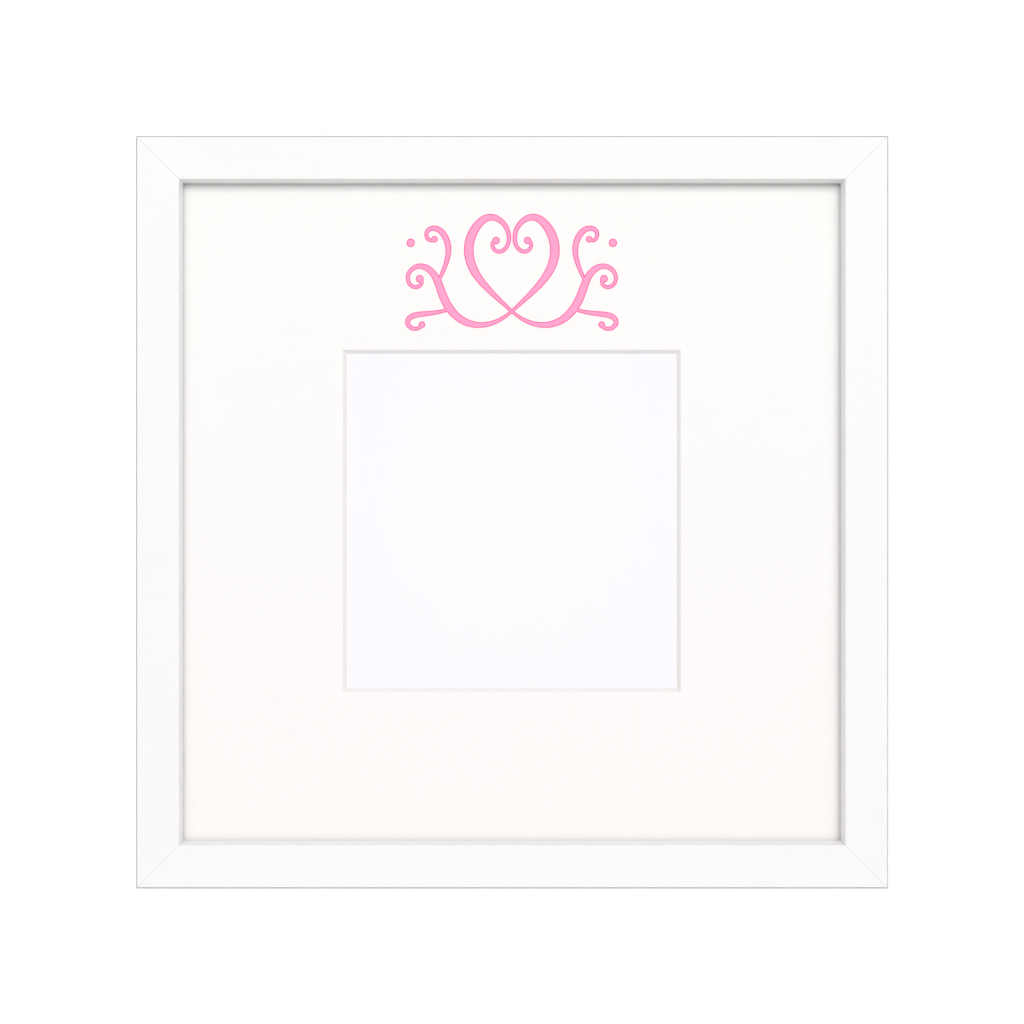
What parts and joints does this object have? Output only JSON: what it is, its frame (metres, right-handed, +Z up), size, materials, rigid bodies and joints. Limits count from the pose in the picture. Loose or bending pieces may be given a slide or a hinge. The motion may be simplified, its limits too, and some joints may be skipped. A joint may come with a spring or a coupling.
{
  "type": "handprint box frame",
  "caption": "Deep white square box frame with a mitred flat rail, glazing, a bevel-cut mount round a blank handprint sheet, turn buttons holding the backboard and a strap hanger.",
  "frame": {"origin": "middle of the bottom rail's underside, on the surface that the frame stands on", "axes": "+X to the right seen from the front, +Z up, and the front faces -Y"},
  "size_m": [0.25, 0.0488, 0.25],
  "materials": {
    "white_foil_fibreboard": "satin",
    "nail_steel": "satin",
    "clear_glass": "gloss",
    "white_mount_board": "matte",
    "pink_print": "satin",
    "print_paper": "matte",
    "gummed_paper": "satin",
    "grey_card": "matte",
    "spacer_fibreboard": "matte",
    "hardboard": "satin",
    "nickel_steel": "polished",
    "zinc_steel": "satin"
  },
  "bodies": {
    "frame": {"rail_bottom": "white_foil_fibreboard", "rail_top": "white_foil_fibreboard", "rail_left": "white_foil_fibreboard", "rail_right": "white_foil_fibreboard", "corner_v_nails": "nail_steel", "glazing": "clear_glass", "mount_board": "white_mount_board", "handprint_sheet": "print_paper", "sheet_tapes": "gummed_paper", "backing_card": "grey_card", "spacer_bottom": "spacer_fibreboard", "spacer_top": "spacer_fibreboard", "spacer_left": "spacer_fibreboard", "spacer_right": "spacer_fibreboard", "backboard": "hardboard", "hanger_strap": "nickel_steel", "hanger_rivets": "nickel_steel", "turn_button_screws": "zinc_steel"},
    "turn_button_bottom_left": {"turn_button_bottom_left": "zinc_steel"},
    "turn_button_bottom_right": {"turn_button_bottom_right": "zinc_steel"},
    "turn_button_top_left": {"turn_button_top_left": "zinc_steel"},
    "turn_button_top_right": {"turn_button_top_right": "zinc_steel"},
    "turn_button_left_lower": {"turn_button_left_lower": "zinc_steel"},
    "turn_button_left_upper": {"turn_button_left_upper": "zinc_steel"},
    "turn_button_right_lower": {"turn_button_right_lower": "zinc_steel"},
    "turn_button_right_upper": {"turn_button_right_upper": "zinc_steel"},
    "hanger_ring": {"hanger_ring": "nickel_steel"}
  },
  "joints": [
    {"name": "turn_button_bottom_left_turn", "type": "hinge", "parent": "frame", "child": "turn_button_bottom_left", "pos_m": [-0.06, 0.02315, 0.00465], "axis": [0, 1, 0], "range_deg": [-90, 90]},
    {"name": "turn_button_bottom_right_turn", "type": "hinge", "parent": "frame", "child": "turn_button_bottom_right", "pos_m": [0.06, 0.02315, 0.00465], "axis": [0, 1, 0], "range_deg": [-90, 90]},
    {"name": "turn_button_top_left_turn", "type": "hinge", "parent": "frame", "child": "turn_button_top_left", "pos_m": [-0.06, 0.02315, 0.24535], "axis": [0, 1, 0], "range_deg": [-90, 90]},
    {"name": "turn_button_top_right_turn", "type": "hinge", "parent": "frame", "child": "turn_button_top_right", "pos_m": [0.06, 0.02315, 0.24535], "axis": [0, 1, 0], "range_deg": [-90, 90]},
    {"name": "turn_button_left_lower_turn", "type": "hinge", "parent": "frame", "child": "turn_button_left_lower", "pos_m": [-0.12035, 0.02315, 0.065], "axis": [0, 1, 0], "range_deg": [-90, 90]},
    {"name": "turn_button_left_upper_turn", "type": "hinge", "parent": "frame", "child": "turn_button_left_upper", "pos_m": [-0.12035, 0.02315, 0.185], "axis": [0, 1, 0], "range_deg": [-90, 90]},
    {"name": "turn_button_right_lower_turn", "type": "hinge", "parent": "frame", "child": "turn_button_right_lower", "pos_m": [0.12035, 0.02315, 0.065], "axis": [0, 1, 0], "range_deg": [-90, 90]},
    {"name": "turn_button_right_upper_turn", "type": "hinge", "parent": "frame", "child": "turn_button_right_upper", "pos_m": [0.12035, 0.02315, 0.185], "axis": [0, 1, 0], "range_deg": [-90, 90]},
    {"name": "hanger_ring_swing", "type": "hinge", "parent": "frame", "child": "hanger_ring", "pos_m": [0, 0.02435, 0.22], "axis": [1, 0, 0], "range_deg": [0, 180]}
  ]
}
